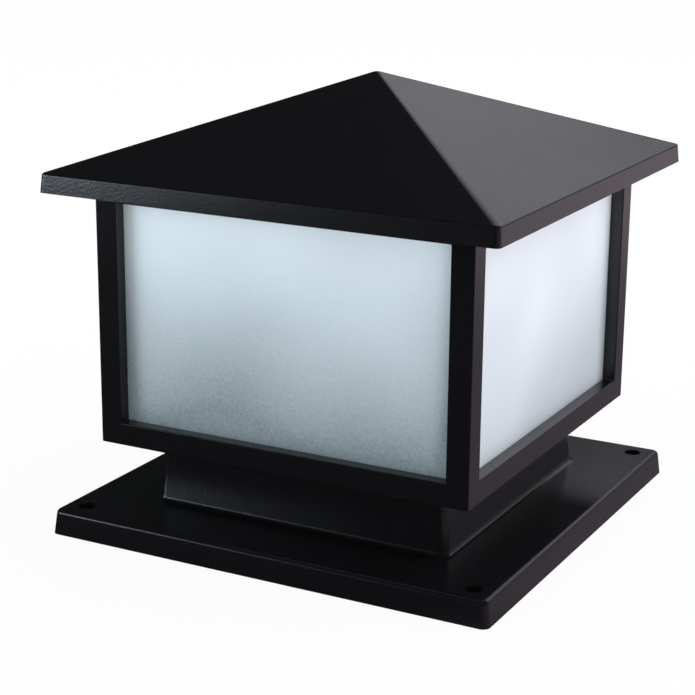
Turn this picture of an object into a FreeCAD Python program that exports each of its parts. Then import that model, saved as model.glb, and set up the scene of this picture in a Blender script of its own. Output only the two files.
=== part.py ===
import FreeCAD, Part
import math
import os
from FreeCAD import Vector

# A square lantern for the top of a pillar, wall or deck post. A flanged base is screwed down
# through its four corners, its hollow neck carries a four-window lantern with frosted panes, and a
# low hip roof lifts off for the lamp. Millimetres, +Z up, origin at the middle of the underside.

# --- Base flange and neck, one casting ---
base_width = 250.0
base_edge_height = 13.3
base_side_draft = 1.4
base_corner_radius = 4.0
base_edge_radius = 2.6
base_skin = 3.5
base_rim = 4.0
fixing_hole_diameter = 9.0
fixing_hole_inset = 13.6
fixing_boss_diameter = 20.0
base_rib_thickness = 3.0
base_rib_depth = 4.0
neck_foot_width = 169.2
neck_top_width = 164.2
neck_height = 35.2
neck_corner_radius = 5.0
neck_foot_fillet = 3.0
neck_wall = 3.5
neck_ledge_width = 12.5
neck_ledge_thickness = 3.0
neck_block_width = 14.5
neck_block_height = 20.0

# --- Lantern body: a foot rail, four posts and a head rail welded together, with a floor plate ---
lantern_width = 210.0
post_face = 12.3
frame_wall = 7.2
bottom_rail_height = 12.0
window_height = 116.0
top_rail_height = 12.0
floor_thickness = 4.0
pane_stop_thickness = 2.4
pane_stop_height = 5.0
ear_width = 13.0
ear_thickness = 4.0

# --- Frosted panes and what holds them ---
glass_thickness = 3.0
pane_seat_thickness = 1.5
pane_head_overlap = 3.5
clip_width = 12.0
clip_sheet = 1.0
clip_grip = 5.5
clip_spacing = 110.0

# --- Roof ---
roof_overhang = 20.2
roof_screw_inset = 13.2
fascia_height = 9.6
fascia_draft = 0.8
roof_rise = 45.2
roof_tip_width = 3.4
roof_tip_corner = 1.4
roof_corner_radius = 3.0
roof_edge_radius = 1.3
roof_wall = 3.0
eave_overlap = 6.3
roof_rib_thickness = 3.6
roof_boss_diameter = 9.0

# --- Seals ---
gasket_thickness = 2.0
roof_gasket_width = 4.8

# --- Lampholder on its bracket ---
bracket_sheet = 1.5
bracket_width = 24.0
bracket_span = 60.0
bracket_foot_length = 13.0
bracket_clear_height = 8.0
wire_hole_diameter = 14.0
holder_diameter = 39.0
holder_height = 42.0
holder_floor = 7.0
holder_lip_height = 4.0
holder_lip_diameter = 29.4
holder_screw_spacing = 26.0
holder_foot_bevel = 2.0
holder_well_diameter = 12.0
holder_well_roof = 1.6
holder_mouth_step = 1.5
holder_mouth_bevel = 1.0
shell_sheet = 0.5
shell_height = 22.0
shell_foot_width = 3.0
contact_sheet = 0.8
contact_width = 6.0
contact_heel = 8.0
contact_toe = 3.2

# --- Lamp with an E27 cap ---
cap_diameter = 26.2
cap_sheet = 0.4
cap_height = 21.5
lamp_seat_depth = 26.0
tip_diameter = 9.2
tip_height = 1.2
insulator_height = 3.3
insulator_top_diameter = 23.0
insulator_lip = 0.8
cap_bottom_bevel = 1.2
cap_bottom_lip = 2.0
lamp_neck_diameter = 29.0
globe_diameter = 60.0
globe_wall = 1.2
globe_centre_height = 78.0
housing_height = 34.0
housing_spigot = 8.0
housing_wall = 1.6
housing_collar = 2.0
housing_waist_height = 15.0
housing_waist_diameter = 37.0
housing_ledge_width = 2.0
housing_ledge_thickness = 1.0
led_board_thickness = 1.6
led_chip_width = 3.0
led_chip_height = 0.8
led_ring_diameter = 28.0
led_count = 8

# --- Terminal block, earth and cable entry ---
terminal_pole_pitch = 11.0
terminal_poles = 3
terminal_depth = 22.0
terminal_height = 14.0
terminal_x = 52.0
terminal_y = 40.0
tube_diameter = 5.6
tube_bore = 3.2
tube_height = 5.5
terminal_screw_diameter = 3.0
terminal_slot_width = 0.6
terminal_slot_depth = 0.8
earth_x = 63.0
earth_y = -12.0
earth_tag_diameter = 10.0
earth_tag_thickness = 1.0
earth_neck_length = 1.0
earth_barrel_length = 9.0
earth_barrel_diameter = 4.0
cable_entry_y = 46.0
cable_hole_diameter = 16.0
cable_bore_diameter = 8.0
grommet_flange_diameter = 22.0
grommet_flange_thickness = 1.5

# --- Internal wires ---
wire_diameter = 2.4
wire_clear_height = 5.2
wire_rise_offset = 3.6
wire_exit = 3.0
live_run_offset = 6.5
neutral_run_offset = 12.0
wire_drop_run = 6.0
wire_wander = 1.0
wire_approach = 7.0
wire_lift = 1.2
earth_bow_width = 3.5
earth_bow_height = 1.6
earth_bow_length = 9.0

# --- Screws: shank diameter, head diameter, head height, length under the head where it is free ---
m5 = {"shank": 5.0, "head": 9.2, "head_height": 3.0, "length": 14.0}
m4_roof = {"shank": 4.0, "head": 8.0, "head_height": 2.6, "length": 10.0}
m4 = {"shank": 4.0, "head": 7.6, "head_height": 2.4}
m3_clip = {"shank": 3.0, "head": 5.4, "head_height": 1.8, "length": 5.5}
m3_terminal = {"shank": 3.0, "head": 5.2, "head_height": 1.8}
m4_holder = {"shank": 4.0, "head": 6.8, "head_height": 2.2, "length": 5.0}
washer_diameter = 9.0
washer_thickness = 1.0
screw_slot_width = 1.0
screw_slot_depth = 1.2

# --- Clearances ---
thread_clearance = 0.05
through_clearance = 0.25
pane_clearance = 0.3
slide_clearance = 0.4
gasket_clearance = 0.3
end_clearance = 1.0
blind_hole_skin = 0.6
blind_hole_spare = 0.4
board_clearance = 0.1
cap_clearance = 0.1
seal_setback = 0.8

# --- Making: how far a cutting shape runs past a face, steps in the eave's rounding, share of a
# --- wire's run that an arc takes at each end
past = 1.0
eave_steps = 4
arc_share = 0.45

# --- Heights that follow from the sizes above ---
base_side_slope = base_side_draft / base_edge_height
floor_underside = base_edge_height + neck_height
floor_top = floor_underside + floor_thickness
window_low = floor_underside + bottom_rail_height
window_high = window_low + window_height
frame_top = window_high + top_rail_height
eave_low = frame_top - eave_overlap
fascia_top = eave_low + fascia_height
roof_apex = fascia_top + roof_rise
ledge_top = floor_underside - gasket_thickness
pane_low = floor_top + pane_seat_thickness
pane_high = window_high + pane_head_overlap
gasket_top = frame_top + gasket_thickness
bracket_underside = floor_top + bracket_clear_height
bracket_top = bracket_underside + bracket_sheet
holder_top = bracket_top + holder_height
lamp_low = holder_top - lamp_seat_depth

# --- Half widths that follow ---
lantern_half = lantern_width / 2
wall_inside = lantern_half - frame_wall
window_half = lantern_half - post_face
pane_inside = wall_inside - glass_thickness
neck_top_half = neck_top_width / 2
neck_inside = neck_top_half - neck_wall
ledge_inside = neck_inside - neck_ledge_width
frame_screw_offset = neck_inside - neck_ledge_width / 2
fixing_hole_offset = base_width / 2 - fixing_hole_inset
eave_half = lantern_half + roof_overhang
fascia_top_half = eave_half - fascia_draft
ear_screw_half = eave_half - roof_screw_inset
roof_slope = roof_rise / (fascia_top_half - roof_tip_width / 2)
roof_skin_height = roof_wall * math.hypot(1.0, roof_slope)
roof_gasket_half = lantern_half - (frame_wall - roof_gasket_width) / 2

UP = Vector(0, 0, 1)
DOWN = Vector(0, 0, -1)
SIDES = {"front": 0, "right": 90, "back": 180, "left": 270}


def quarter_side(half, corner, height):
    """A square's front edge and the rounding of its front right corner, as corner points."""
    reach = half - corner
    diagonal = reach + corner * math.sqrt(0.5)
    start = Vector(-reach, -half, height)
    end = Vector(reach, -half, height)
    return start, end, Vector(diagonal, -diagonal, height), Vector(half, -reach, height)


def square_outline(half, corner, height):
    """A square centred on the axis; its corners are quarter circles, or sharp where corner is 0."""
    start, end, middle, last = quarter_side(half, corner, height)
    side = [Part.LineSegment(start, end).toShape()]
    if corner > 0:
        side.append(Part.Arc(end, middle, last).toShape())
    return Part.Wire([on_side(edge, angle) for angle in SIDES.values() for edge in side])


def square_stack(sections):
    """A solid through level squares, each given as (half width, corner radius, height).

    Flat trapeziums join the sides of neighbouring squares, and ruled faces join their corners.
    """
    bottom = Part.Face(square_outline(*sections[0]))
    bottom.reverse()
    faces = [bottom, Part.Face(square_outline(*sections[-1]))]
    for lower, upper in zip(sections, sections[1:]):
        low_start, low_end, low_middle, low_last = quarter_side(*lower)
        high_start, high_end, high_middle, high_last = quarter_side(*upper)
        patches = [Part.Face(Part.makePolygon([low_start, low_end, high_end, high_start, low_start]))]
        if lower[1] > 0:
            patches.append(Part.makeRuledSurface(
                Part.Arc(low_end, low_middle, low_last).toShape(),
                Part.Arc(high_end, high_middle, high_last).toShape(),
            ))
        faces.extend(on_side(patch, angle) for angle in SIDES.values() for patch in patches)
    shell = Part.makeShell(faces)
    shell.sewShape()
    return Part.makeSolid(shell)


def square_bar(half, low, high):
    """An upright square block centred on the axis."""
    return box(-half, half, -half, half, low, high)


def square_ring(outer_half, inner_half, low, high):
    """A flat square ring centred on the axis."""
    return square_bar(outer_half, low, high).cut(square_bar(inner_half, low, high))


def box(x_low, x_high, y_low, y_high, z_low, z_high):
    """A block between two corners."""
    return Part.makeBox(x_high - x_low, y_high - y_low, z_high - z_low, Vector(x_low, y_low, z_low))


def cylinder(diameter, x, y, low, high):
    """An upright cylinder between two heights."""
    return Part.makeCylinder(diameter / 2, high - low, Vector(x, y, low))


def turned(profile):
    """A solid of revolution about Z through (radius, height) corners."""
    corners = [Vector(radius, 0, height) for radius, height in profile]
    face = Part.Face(Part.makePolygon(corners + corners[:1]))
    return face.revolve(Vector(), UP, 360)


def extruded(corners, direction):
    """A prism on a closed outline of corners."""
    return Part.Face(Part.makePolygon(corners + corners[:1])).extrude(direction)


def on_side(shape, angle):
    """A copy of a shape made for the front, turned to another side."""
    copy = shape.copy()
    copy.rotate(Vector(), UP, angle)
    return copy


def on_all_sides(shape):
    return [on_side(shape, angle) for angle in SIDES.values()]


def corners_of(offset):
    return [(x, y) for x in (-offset, offset) for y in (-offset, offset)]


def smooth(shape, radius, chosen):
    """The shape with a rounding along the edges that the test picks."""
    return shape.makeFillet(radius, [edge for edge in shape.Edges if chosen(edge)])


def level_edge(height, low_half, high_half):
    """A test for edges that lie at one height, between two distances from the axis."""
    def chosen(edge):
        limits = edge.BoundBox
        middle = edge.valueAt((edge.FirstParameter + edge.LastParameter) / 2)
        reach = max(abs(middle.x), abs(middle.y))
        at_height = abs(limits.ZMin - height) < 1e-3 and abs(limits.ZMax - height) < 1e-3
        return at_height and low_half < reach < high_half
    return chosen


def screw(size, seat, direction):
    """A pan-head screw: its head stands on the seat, its shank points along direction."""
    shank = Part.makeCylinder(size["shank"] / 2, size["length"], seat, direction)
    head = Part.makeCylinder(size["head"] / 2, size["head_height"], seat, direction * -1)
    rim = [edge for edge in head.Edges if edge.Closed and edge.Length > 1.0]
    crown = max(rim, key=lambda edge: (edge.CenterOfMass - seat).dot(direction * -1))
    head = head.makeFillet(size["head_height"] / 2, [crown])
    return head.fuse(shank).removeSplitter().cut(cross_slot(size, seat, direction))


def cross_slot(size, seat, direction):
    """The two crossed slots in a screw's head."""
    arm = size["head"] * 0.62
    slot = box(-arm / 2, arm / 2, -screw_slot_width / 2, screw_slot_width / 2, 0, screw_slot_depth)
    cross = slot.fuse(on_side(slot, 90))
    outward = direction * -1
    cross.Placement = FreeCAD.Placement(
        seat + outward * (size["head_height"] - screw_slot_depth),
        FreeCAD.Rotation(UP, outward),
    )
    return cross


def tapped_hole(size, seat, direction):
    """The room for a screw's shank past its seat, with clearance at its side and end."""
    radius = size["shank"] / 2 + thread_clearance
    return Part.makeCylinder(radius, size["length"] + end_clearance, seat, direction)


def through_hole(size, x, y, low, high):
    """The clearance hole for a screw between two faces, cut a little past both."""
    return cylinder(size["shank"] + 2 * through_clearance, x, y, low - past, high + past)


def close_hole(size, x, y, low, high):
    """The same with a thread's clearance."""
    return cylinder(size["shank"] + 2 * thread_clearance, x, y, low - past, high + past)


def make_base_flange():
    """Flange with rounded top edge and leaning sides, neck with a ledge inside, all hollow below."""
    base_half = base_width / 2
    flange_top_half = base_half - base_side_draft
    outer = square_stack([
        (base_half, base_corner_radius, 0),
        (flange_top_half, base_corner_radius, base_edge_height),
    ])
    outer = smooth(outer, base_edge_radius, level_edge(base_edge_height, 0, base_half))
    neck = square_stack([
        (neck_foot_width / 2, neck_corner_radius, base_edge_height),
        (neck_top_half, neck_corner_radius, floor_underside),
    ])
    solid = outer.fuse(neck)
    solid = smooth(solid, neck_foot_fillet, level_edge(base_edge_height, 0, neck_foot_width / 2 + 1))

    skin_underside = base_edge_height - base_skin
    rim_inside = base_half - base_rim
    under_flange = square_stack([
        (rim_inside, base_corner_radius, 0),
        (rim_inside - base_side_slope * skin_underside, base_corner_radius, skin_underside),
    ])
    foot_inside = neck_foot_width / 2 - neck_wall
    in_neck = square_stack([
        (foot_inside, neck_inner_corner(), skin_underside - 0.01),
        (neck_inside, neck_inner_corner(), floor_underside + 0.01),
    ])
    solid = solid.cut(under_flange).cut(in_neck)

    in_wall = neck_inside + neck_wall / 2
    ledge = square_ring(in_wall, ledge_inside, ledge_top - neck_ledge_thickness, ledge_top)
    solid = solid.fuse(ledge)
    block_inside = neck_inside - neck_block_width
    block = box(block_inside, in_wall, block_inside, in_wall, ledge_top - neck_block_height, ledge_top)
    for each in on_all_sides(block):
        solid = solid.fuse(each)
    for x, y in corners_of(frame_screw_offset):
        solid = solid.cut(tapped_hole(m5, Vector(x, y, floor_top), DOWN))
    return add_underside(solid, skin_underside, rim_inside).removeSplitter()


def add_underside(solid, skin_underside, rim_inside):
    """Screw bosses and short stiffening ribs under the flange."""
    rib = box(
        -base_rib_thickness / 2, base_rib_thickness / 2,
        -rim_inside, -(neck_foot_width / 2 - neck_wall),
        skin_underside - base_rib_depth, skin_underside + base_skin / 2,
    )
    rib_offset = neck_foot_width / 4
    for shift in (-rib_offset, rib_offset):
        moved = rib.copy()
        moved.translate(Vector(shift, 0, 0))
        for turned_rib in on_all_sides(moved):
            solid = solid.fuse(turned_rib)
    for x, y in corners_of(fixing_hole_offset):
        solid = solid.fuse(cylinder(fixing_boss_diameter, x, y, 0, skin_underside + base_skin / 2))
        solid = solid.cut(cylinder(fixing_hole_diameter, x, y, -past, base_edge_height + past))
    return solid


def neck_inner_corner():
    return max(neck_corner_radius - neck_wall, 1.0)


def make_neck_gasket():
    """Flat seal on the ledge inside the neck's rim."""
    half = neck_inside - gasket_clearance
    corner = neck_inner_corner()
    seal = square_stack([(half, corner, ledge_top), (half, corner, floor_underside)])
    seal = seal.cut(square_bar(ledge_inside, ledge_top - past, floor_underside + past))
    for x, y in corners_of(frame_screw_offset):
        seal = seal.cut(through_hole(m5, x, y, ledge_top, floor_underside))
    return seal


def make_lantern_foot_rail():
    """The square rail under the windows. It stands on the neck and holds the floor plate."""
    return square_ring(lantern_half, wall_inside, floor_underside, window_low)


def make_lantern_post(side):
    """An L-section post, welded to both rails, left of a side's window as seen from outside."""
    corner = box(-lantern_half, -window_half, -lantern_half, -window_half, window_low, window_high)
    hollow = box(
        -wall_inside, -window_half + past, -wall_inside, -window_half + past,
        window_low - past, window_high + past,
    )
    return on_side(corner.cut(hollow), SIDES[side])


def make_lantern_head_rail():
    """The square rail over the windows, with an ear on each side for the roof."""
    rail = square_ring(lantern_half, wall_inside, window_high, frame_top)
    ear = box(
        -ear_width / 2, ear_width / 2, -ear_screw_half, -lantern_half + frame_wall / 2,
        frame_top - ear_thickness, frame_top,
    ).fuse(cylinder(ear_width, 0, -ear_screw_half, frame_top - ear_thickness, frame_top))
    ear = ear.cut(through_hole(m4_roof, 0, -ear_screw_half, frame_top - ear_thickness, frame_top))
    for each in on_all_sides(ear):
        rail = rail.fuse(each)
    for hole in clip_screw_holes():
        rail = rail.cut(hole)
    return rail.removeSplitter()


def make_lantern_floor():
    """A plate that fills the frame's foot, with the holes for all that is screwed down on it."""
    plate = square_bar(wall_inside, floor_underside, floor_top)
    for x, y in corners_of(frame_screw_offset):
        plate = plate.cut(through_hole(m5, x, y, floor_underside, floor_top))
    cable_hole = cylinder(cable_hole_diameter, 0, cable_entry_y, floor_underside - past, floor_top + past)
    plate = plate.cut(cable_hole)
    for x in bracket_screw_places():
        plate = plate.cut(blind_floor_hole(m4, x, 0))
    plate = plate.cut(blind_floor_hole(m4, earth_x, earth_y))
    for x in terminal_screw_places():
        plate = plate.cut(blind_floor_hole(m3_terminal, x, terminal_y))
    return plate


def make_pane_stop():
    """A low square ring welded to the floor, which keeps the foot of each pane from moving inwards."""
    outside = pane_inside - slide_clearance
    return square_ring(outside, outside - pane_stop_thickness, floor_top, floor_top + pane_stop_height)


def blind_floor_hole(size, x, y):
    """A hole in the floor that stops short of its underside."""
    return close_hole(size, x, y, floor_underside + blind_hole_skin + past, floor_top)


def floor_screw(size, x, y, clamped):
    """A screw that clamps a thickness to the floor and ends inside its blind hole."""
    length = clamped + floor_thickness - blind_hole_skin - blind_hole_spare
    return screw(dict(size, length=length), Vector(x, y, floor_top + clamped), DOWN)


def make_frame_screws():
    seats = [Vector(x, y, floor_top) for x, y in corners_of(frame_screw_offset)]
    return Part.makeCompound([screw(m5, seat, DOWN) for seat in seats])


def pane_half(side):
    """Front and back panes reach the posts, and the side panes fit between them."""
    if side in ("front", "back"):
        return wall_inside - pane_clearance
    return pane_inside - pane_clearance


def make_glass_pane(side):
    half = pane_half(side)
    pane = box(-half, half, -wall_inside, -pane_inside, pane_low, pane_high)
    return on_side(pane, SIDES[side])


def make_pane_seat(side):
    half = pane_half(side) - seal_setback
    strip = box(-half, half, -wall_inside, -pane_inside, floor_top, pane_low)
    return on_side(strip, SIDES[side])


def clip_low():
    return pane_high + end_clearance / 2


def clip_screw_height():
    return clip_low() + clip_sheet + through_clearance + m3_clip["head"] / 2


def clip_screw_holes():
    """Blind holes in the inner face of the top rail, two on each side."""
    holes = []
    for x in (-clip_spacing / 2, clip_spacing / 2):
        seat = Vector(x, -wall_inside + clip_sheet, clip_screw_height())
        reach = m3_clip["length"] + thread_clearance
        hole = Part.makeCylinder(m3_clip["shank"] / 2 + thread_clearance, reach, seat, Vector(0, -1, 0))
        holes.extend(on_all_sides(hole))
    return holes


def make_pane_clips():
    """Spring clips on the top rail that hook over each pane and press on its inner face."""
    low = clip_low()
    high = clip_screw_height() + m3_clip["head"] / 2 + through_clearance
    profile = [
        (-wall_inside, low), (-pane_inside, low), (-pane_inside, pane_high - clip_grip),
        (-pane_inside + clip_sheet, pane_high - clip_grip), (-pane_inside + clip_sheet, low + clip_sheet),
        (-wall_inside + clip_sheet, low + clip_sheet), (-wall_inside + clip_sheet, high),
        (-wall_inside, high),
    ]
    clips = []
    for x in (-clip_spacing / 2, clip_spacing / 2):
        corners = [Vector(x - clip_width / 2, y, z) for y, z in profile]
        clip = extruded(corners, Vector(clip_width, 0, 0))
        seat = Vector(x, -wall_inside, clip_screw_height())
        hole_radius = m3_clip["shank"] / 2 + through_clearance
        hole = Part.makeCylinder(hole_radius, 2 * clip_sheet, seat, Vector(0, 1, 0))
        clips.extend(on_all_sides(clip.cut(hole)))
    return Part.makeCompound(clips)


def make_pane_clip_screws():
    screws = []
    for x in (-clip_spacing / 2, clip_spacing / 2):
        seat = Vector(x, -wall_inside + clip_sheet, clip_screw_height())
        screws.extend(on_all_sides(screw(m3_clip, seat, Vector(0, -1, 0))))
    return Part.makeCompound(screws)


def roof_height(half):
    """Height of the roof's outer slope at a distance from the axis."""
    return fascia_top + (fascia_top_half - half) * roof_slope


def eave_rounding():
    """Sections that turn the fascia's top into the slope along an arc."""
    lean = math.atan(fascia_draft / fascia_height)
    slope = math.atan(roof_slope)
    turn_from, turn_to = lean, math.pi / 2 - slope
    tangent = roof_edge_radius * math.tan((turn_to - turn_from) / 2)
    centre_half = fascia_top_half + tangent * math.sin(lean) - roof_edge_radius * math.cos(lean)
    centre_height = fascia_top - tangent * math.cos(lean) - roof_edge_radius * math.sin(lean)
    sections = []
    for step in range(eave_steps + 1):
        angle = turn_from + (turn_to - turn_from) * step / eave_steps
        half = centre_half + roof_edge_radius * math.cos(angle)
        height = centre_height + roof_edge_radius * math.sin(angle)
        sections.append((half, roof_corner_radius, height))
    return sections


def make_roof_cap():
    """Thin hip roof with a shallow fascia, a seal rib and a screw boss on each side, open below."""
    tip_half = roof_tip_width / 2
    outer = square_stack(
        [(eave_half, roof_corner_radius, eave_low)]
        + eave_rounding()
        + [(tip_half, roof_tip_corner, roof_apex)]
    )
    lean = fascia_draft / fascia_height
    inner_top = roof_apex - roof_skin_height
    inner_tip = tip_half
    inner_rise = (fascia_top_half - roof_wall - inner_tip) * roof_slope
    inner = square_stack([
        (eave_half - roof_wall + lean * past, 0, eave_low - past),
        (fascia_top_half - roof_wall, 0, inner_top - inner_rise),
        (inner_tip, 0, inner_top),
    ])
    roof = outer.cut(inner)

    rib_middle = roof_gasket_half - roof_gasket_width / 2
    rib_outer = rib_middle + roof_rib_thickness / 2
    rib = square_ring(rib_outer, rib_outer - roof_rib_thickness, gasket_top, roof_apex)
    boss = cylinder(roof_boss_diameter, 0, -ear_screw_half, frame_top, fascia_top + roof_rise / 2)
    inside = square_stack([
        (eave_half - roof_wall, 0, eave_low),
        (fascia_top_half - roof_wall / 2, 0, fascia_top - roof_edge_radius),
        (tip_half, 0, roof_apex - roof_wall / 2),
    ])
    roof = roof.fuse(rib.common(inside))
    for each in on_all_sides(boss.common(inside)):
        roof = roof.fuse(each)
    seat = Vector(0, -ear_screw_half, frame_top - ear_thickness - washer_thickness)
    for hole in on_all_sides(tapped_hole(m4_roof, seat, UP)):
        roof = roof.cut(hole)
    return roof.removeSplitter()


def make_roof_gasket():
    return square_ring(roof_gasket_half, roof_gasket_half - roof_gasket_width, frame_top, gasket_top)


def make_roof_washer(side):
    high = frame_top - ear_thickness
    washer = cylinder(washer_diameter, 0, -ear_screw_half, high - washer_thickness, high)
    hole = close_hole(m4_roof, 0, -ear_screw_half, high - washer_thickness, high)
    return on_side(washer.cut(hole), SIDES[side])


def make_roof_screw(side):
    seat = Vector(0, -ear_screw_half, frame_top - ear_thickness - washer_thickness)
    return on_side(screw(m4_roof, seat, UP), SIDES[side])


def bracket_screw_places():
    reach = bracket_span / 2 + bracket_foot_length / 2
    return (-reach, reach)


def make_lampholder_bracket():
    """Steel strap bent to a flat arch, its feet screwed to the floor."""
    step = bracket_span / 2
    reach = step + bracket_foot_length
    foot_top = floor_top + bracket_sheet
    profile = [
        (-reach, floor_top), (-step + bracket_sheet, floor_top), (-step + bracket_sheet, bracket_underside),
        (step - bracket_sheet, bracket_underside), (step - bracket_sheet, floor_top), (reach, floor_top),
        (reach, foot_top), (step, foot_top), (step, bracket_top),
        (-step, bracket_top), (-step, foot_top), (-reach, foot_top),
    ]
    corners = [Vector(x, -bracket_width / 2, z) for x, z in profile]
    strap = extruded(corners, Vector(0, bracket_width, 0))
    strap = strap.cut(cylinder(wire_hole_diameter, 0, 0, bracket_underside - past, bracket_top + past))
    for x in bracket_screw_places():
        strap = strap.cut(through_hole(m4, x, 0, floor_top, foot_top))
    for x in holder_screw_places():
        strap = strap.cut(close_hole(m4_holder, x, 0, bracket_underside, bracket_top))
    return strap


def holder_screw_places():
    return (-holder_screw_spacing / 2, holder_screw_spacing / 2)


def make_bracket_screws():
    return Part.makeCompound([floor_screw(m4, x, 0, bracket_sheet) for x in bracket_screw_places()])


def make_lampholder_body():
    """Cup-shaped insulating body with a thick floor and a lip round the mouth."""
    radius = holder_diameter / 2
    shell_radius = shell_outer_diameter() / 2 + thread_clearance
    lip_radius = holder_lip_diameter / 2
    floor_height = bracket_top + holder_floor
    lip_low = holder_top - holder_lip_height
    mouth = radius - holder_mouth_step
    cup = turned([
        (0, bracket_top), (radius - holder_foot_bevel, bracket_top),
        (radius, bracket_top + holder_foot_bevel),
        (radius, lip_low - holder_mouth_bevel), (mouth, lip_low), (mouth, holder_top - holder_mouth_bevel),
        (mouth - holder_mouth_bevel, holder_top), (lip_radius, holder_top), (lip_radius, lip_low),
        (shell_radius, lip_low), (shell_radius, floor_height), (0, floor_height),
    ])
    cup = cup.cut(cylinder(holder_well_diameter, 0, 0, bracket_top, floor_height - holder_well_roof))
    for x in (-wire_rise_offset, wire_rise_offset):
        cup = cup.cut(cylinder(wire_diameter + 2 * thread_clearance, x, 0, bracket_top, floor_height))
    hole_end = bracket_underside + m4_holder["length"] + blind_hole_spare
    for x in holder_screw_places():
        cup = cup.cut(close_hole(m4_holder, x, 0, bracket_top, hole_end - past))
    return cup


def make_lampholder_screws():
    seats = [Vector(x, 0, bracket_underside) for x in holder_screw_places()]
    return Part.makeCompound([screw(m4_holder, seat, UP) for seat in seats])


def shell_outer_diameter():
    return cap_diameter + 2 * cap_clearance + 2 * shell_sheet


def make_lampholder_shell():
    """Threaded sleeve that the lamp's cap screws into, with a turned-in foot on the holder's floor."""
    low = bracket_top + holder_floor
    outer = shell_outer_diameter() / 2
    inner = outer - shell_sheet
    foot = outer - shell_foot_width
    return turned([
        (foot, low), (outer, low), (outer, low + shell_height), (inner, low + shell_height),
        (inner, low + shell_sheet), (foot, low + shell_sheet),
    ])


def make_lampholder_contact():
    """Sprung tongue: a foot on the holder's floor, a sloping arm and a pad under the lamp's tip."""
    low = bracket_top + holder_floor
    pad = tip_diameter / 2
    sheet = contact_sheet
    profile = [
        (-contact_heel, low), (contact_toe, low), (contact_toe, low + sheet),
        (-contact_heel + 2 * sheet, low + sheet), (-pad, lamp_low - sheet), (pad, lamp_low - sheet),
        (pad, lamp_low), (-pad - sheet / 2, lamp_low), (-contact_heel, low + 1.5 * sheet),
    ]
    corners = [Vector(x, -contact_width / 2, z) for x, z in profile]
    return extruded(corners, Vector(0, contact_width, 0))


def make_bulb_contact():
    return cylinder(tip_diameter, 0, 0, lamp_low, lamp_low + tip_height)


def make_bulb_insulator():
    """Glassy cone between the tip contact and the cap's shell."""
    low = lamp_low + tip_height
    low_radius = tip_diameter / 2 + insulator_lip
    return Part.makeCone(low_radius, insulator_top_diameter / 2, insulator_height, Vector(0, 0, low))


def make_bulb_cap():
    """Thin metal cup with a hole in its bottom, standing on the insulator."""
    low = lamp_low + tip_height + insulator_height
    radius = cap_diameter / 2
    inner = radius - cap_sheet
    lip = insulator_top_diameter / 2 - cap_bottom_lip
    bevel = cap_bottom_bevel
    return turned([
        (lip, low), (radius - bevel, low), (radius, low + bevel), (radius, low + cap_height),
        (inner, low + cap_height), (inner, low + bevel), (inner - bevel + cap_sheet, low + cap_sheet),
        (lip, low + cap_sheet),
    ])


def housing_low():
    return lamp_low + tip_height + insulator_height + cap_height


def board_radius():
    """Inner radius of the globe where it meets the housing."""
    drop = lamp_low + globe_centre_height - housing_low() - housing_height
    return math.sqrt((globe_diameter / 2 - globe_wall) ** 2 - drop ** 2)


def make_bulb_housing():
    """Flared plastic body: a spigot in the cap, a cone, and a ledge for the board at its top."""
    low = housing_low()
    high = low + housing_height
    spigot = cap_diameter / 2 - cap_sheet - thread_clearance
    bore = spigot - housing_wall
    neck = lamp_neck_diameter / 2
    waist = housing_waist_diameter / 2
    seat = board_radius()
    board_low = high - led_board_thickness
    return turned([
        (bore, low - housing_spigot), (spigot, low - housing_spigot), (spigot, low), (neck, low),
        (neck, low + housing_collar), (waist, low + housing_waist_height), (seat + globe_wall, high),
        (seat, high), (seat, board_low), (seat - housing_ledge_width, board_low),
        (seat - housing_ledge_width, board_low - housing_ledge_thickness),
        (waist - housing_wall, low + housing_waist_height), (bore, low + housing_collar),
    ])


def make_led_board():
    high = housing_low() + housing_height
    return cylinder(2 * (board_radius() - board_clearance), 0, 0, high - led_board_thickness, high)


def make_led_chips():
    low = housing_low() + housing_height
    half = led_chip_width / 2
    radius = led_ring_diameter / 2
    chip = box(radius - half, radius + half, -half, half, low, low + led_chip_height)
    return Part.makeCompound([on_side(chip, 360 * count / led_count) for count in range(led_count)])


def make_bulb_globe():
    """Part of a thin sphere, open where it sits on the housing."""
    centre = Vector(0, 0, lamp_low + globe_centre_height)
    low = housing_low() + housing_height
    shell = Part.makeSphere(globe_diameter / 2, centre)
    shell = shell.cut(Part.makeSphere(globe_diameter / 2 - globe_wall, centre))
    return shell.cut(cylinder(globe_diameter + past, 0, 0, lamp_low, low))


def pole_places():
    first = terminal_x - terminal_pole_pitch * (terminal_poles - 1) / 2
    return [first + terminal_pole_pitch * pole for pole in range(terminal_poles)]


def terminal_screw_places():
    poles = pole_places()
    return [(left + right) / 2 for left, right in zip(poles, poles[1:])]


def along_y(diameter, x, z, low, high):
    """A cylinder along Y."""
    return Part.makeCylinder(diameter / 2, high - low, Vector(x, low, z), Vector(0, 1, 0))


def tube_axis_height():
    return floor_top + tube_height


def make_terminal_block():
    """Insulating block with a tube and two screw wells for each pole."""
    half_length = terminal_pole_pitch * terminal_poles / 2
    near = terminal_y - terminal_depth / 2
    far = terminal_y + terminal_depth / 2
    top = floor_top + terminal_height
    well = terminal_screw_diameter + 2 * through_clearance
    block = box(terminal_x - half_length, terminal_x + half_length, near, far, floor_top, top)
    for x in pole_places():
        block = block.cut(along_y(tube_diameter, x, tube_axis_height(), near - past, far + past))
        for y in clamp_screw_rows():
            block = block.cut(cylinder(well, x, y, tube_axis_height(), top + past))
    for x in terminal_screw_places():
        block = block.cut(through_hole(m3_terminal, x, terminal_y, floor_top, top))
    return block


def clamp_screw_rows():
    return (terminal_y - terminal_depth / 4, terminal_y + terminal_depth / 4)


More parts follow.
